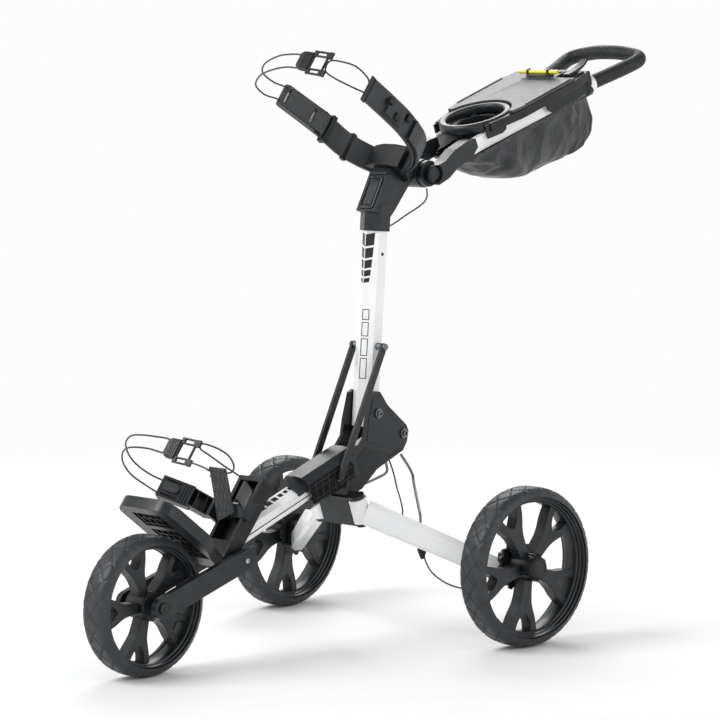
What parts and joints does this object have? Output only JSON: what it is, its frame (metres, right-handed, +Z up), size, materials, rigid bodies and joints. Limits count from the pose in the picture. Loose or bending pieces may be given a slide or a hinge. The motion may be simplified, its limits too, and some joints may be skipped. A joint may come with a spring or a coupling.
{
  "type": "golf push trolley",
  "caption": "Folding push trolley with spoked wheels, upper and lower bag cradles, a console with cup holder and lid, an accessory bag and a bow handle.",
  "frame": {"origin": "on the ground, in the middle of the footprint", "axes": "+X the trolley's left, -Y its front (front wheel), +Z up"},
  "size_m": [0.6898, 1.4, 1.0798],
  "materials": {
    "black_plastic": "satin moulded black plastic",
    "dark_plastic": "fine-textured black plastic",
    "white_paint": "gloss white paint on aluminium extrusion",
    "lid_plastic": "dark grey satin plastic",
    "tyre": "solid foam-rubber tread",
    "soft_rubber": "matt moulded rubber",
    "grip_foam": "matt grip foam",
    "steel": "dark plated steel",
    "pencil_paint": "yellow lacquer",
    "bag_cloth": "dark coated nylon",
    "webbing": "woven polyester webbing",
    "elastic_cord": "braided elastic",
    "cable_jacket": "smooth black jacket"
  },
  "bodies": {
    "frame": {"lower_tube": "white_paint", "pivot_housing": "black_plastic", "front_bracket": "dark_plastic", "bag_base": "black_plastic", "lower_arm_right": "black_plastic", "lower_arm_left": "black_plastic", "lower_strap": "webbing", "mast_pivot_bolt": "steel", "housing_bolt": "steel", "left_fork_arm": "black_plastic", "right_fork_arm": "black_plastic", "front_axle": "steel", "lower_cord": "elastic_cord", "lower_loop": "elastic_cord", "lower_buckle": "dark_plastic", "brake_cable": "cable_jacket"},
    "front_wheel": {"front_tyre": "tyre", "front_rim": "black_plastic"},
    "left_arm": {"left_beam": "white_paint", "left_axle": "steel", "left_brake_bracket": "dark_plastic", "wheel_cable": "cable_jacket"},
    "right_arm": {"right_beam": "white_paint", "right_axle": "steel", "right_brake_bracket": "dark_plastic"},
    "left_wheel": {"left_tyre": "tyre", "left_rim": "black_plastic", "left_brake_gear": "dark_plastic"},
    "right_wheel": {"right_tyre": "tyre", "right_rim": "black_plastic", "right_brake_gear": "dark_plastic"},
    "left_rod": {"left_link_rod": "steel"},
    "right_rod": {"right_link_rod": "steel"},
    "left_strut": {"left_strut": "black_plastic"},
    "right_strut": {"right_strut": "black_plastic"},
    "shuttle": {"strut_shuttle": "steel"},
    "mast": {"mast_tube": "white_paint", "elbow": "black_plastic", "upper_yoke": "dark_plastic", "upper_arm_right": "soft_rubber", "upper_arm_left": "soft_rubber", "upper_pad": "black_plastic", "strut_pin": "steel", "handle_pivot_bolt": "steel", "upper_cord": "elastic_cord", "upper_loop": "elastic_cord", "upper_buckle": "dark_plastic", "handle_cable": "cable_jacket"},
    "handle": {"left_handle_bracket": "black_plastic", "right_handle_bracket": "black_plastic", "left_rail": "white_paint", "right_rail": "white_paint", "console_tray": "dark_plastic", "cup_holder": "black_plastic", "grip": "grip_foam", "accessory_bag": "bag_cloth"},
    "lid": {"console_lid": "lid_plastic", "pencil": "pencil_paint"},
    "brake_lever": {"brake_lever": "dark_plastic"},
    "release_button": {"release_button": "dark_plastic"}
  },
  "joints": [
    {"name": "mast_fold", "type": "hinge", "parent": "frame", "child": "mast", "pos_m": [0, -0.011, 0.411], "axis": [1, 0, 0], "range_deg": [0, 84]},
    {"name": "shuttle_slide", "type": "slide", "parent": "frame", "child": "shuttle", "axis": [0, -0.9397, -0.342], "range_m": [0, 0.19]},
    {"name": "left_strut_turn", "type": "hinge", "parent": "mast", "child": "left_strut", "pos_m": [0.0375, -0.0016, 0.5333], "axis": [1, 0, 0], "range_deg": [-101, 0]},
    {"name": "right_strut_turn", "type": "hinge", "parent": "mast", "child": "right_strut", "pos_m": [-0.0375, -0.0016, 0.5333], "axis": [1, 0, 0], "range_deg": [-101, 0]},
    {"name": "left_arm_fold", "type": "hinge", "parent": "frame", "child": "left_arm", "pos_m": [0.05, -0.078, 0.242], "axis": [0, -0.342, 0.9397], "range_deg": [0, 37.9]},
    {"name": "right_arm_fold", "type": "hinge", "parent": "frame", "child": "right_arm", "pos_m": [-0.05, -0.078, 0.242], "axis": [0, -0.342, 0.9397], "range_deg": [-37.9, 0]},
    {"name": "left_rod_turn", "type": "hinge", "parent": "frame", "child": "left_rod", "pos_m": [0.02, 0.064, 0.327], "axis": [0, 1, 0], "range_deg": [0, 31.2]},
    {"name": "right_rod_turn", "type": "hinge", "parent": "frame", "child": "right_rod", "pos_m": [-0.02, 0.064, 0.327], "axis": [0, 1, 0], "range_deg": [-31.2, 0]},
    {"name": "handle_fold", "type": "hinge", "parent": "mast", "child": "handle", "pos_m": [0, 0.119, 0.847], "axis": [1, 0, 0], "range_deg": [-100, 25]},
    {"name": "lid_open", "type": "hinge", "parent": "handle", "child": "lid", "pos_m": [0, 0.5133, 1.02878], "axis": [1, 0, 0], "range_deg": [-100, 0]},
    {"name": "brake_lever_lift", "type": "hinge", "parent": "handle", "child": "brake_lever", "pos_m": [0.062, 0.49707, 1.02371], "axis": [1, 0, 0], "range_deg": [0, 15]},
    {"name": "release_button_press", "type": "slide", "parent": "handle", "child": "release_button", "axis": [-1, 0, 0], "range_m": [0, 0.003], "stiffness_N_per_m": 500},
    {"name": "front_wheel_spin", "type": "hinge", "parent": "frame", "child": "front_wheel", "pos_m": [0, -0.57, 0.124], "axis": [1, 0, 0], "continuous": true},
    {"name": "left_wheel_spin", "type": "hinge", "parent": "left_arm", "child": "left_wheel", "pos_m": [0.3035, 0.089, 0.146], "axis": [0.9971, -0.0767, 0], "continuous": true},
    {"name": "right_wheel_spin", "type": "hinge", "parent": "right_arm", "child": "right_wheel", "pos_m": [-0.3035, 0.089, 0.146], "axis": [0.9971, 0.0767, 0], "continuous": true}
  ],
  "couplings": [
    {"joint": "shuttle_slide", "follows": "mast_fold", "m_per_rad": 0.1295},
    {"joint": "left_strut_turn", "follows": "mast_fold", "ratio": -1.2021},
    {"joint": "right_strut_turn", "follows": "mast_fold", "ratio": -1.2021},
    {"joint": "left_arm_fold", "follows": "mast_fold", "ratio": 0.45},
    {"joint": "right_arm_fold", "follows": "mast_fold", "ratio": -0.45},
    {"joint": "left_rod_turn", "follows": "mast_fold", "ratio": 0.37},
    {"joint": "right_rod_turn", "follows": "mast_fold", "ratio": -0.37}
  ]
}
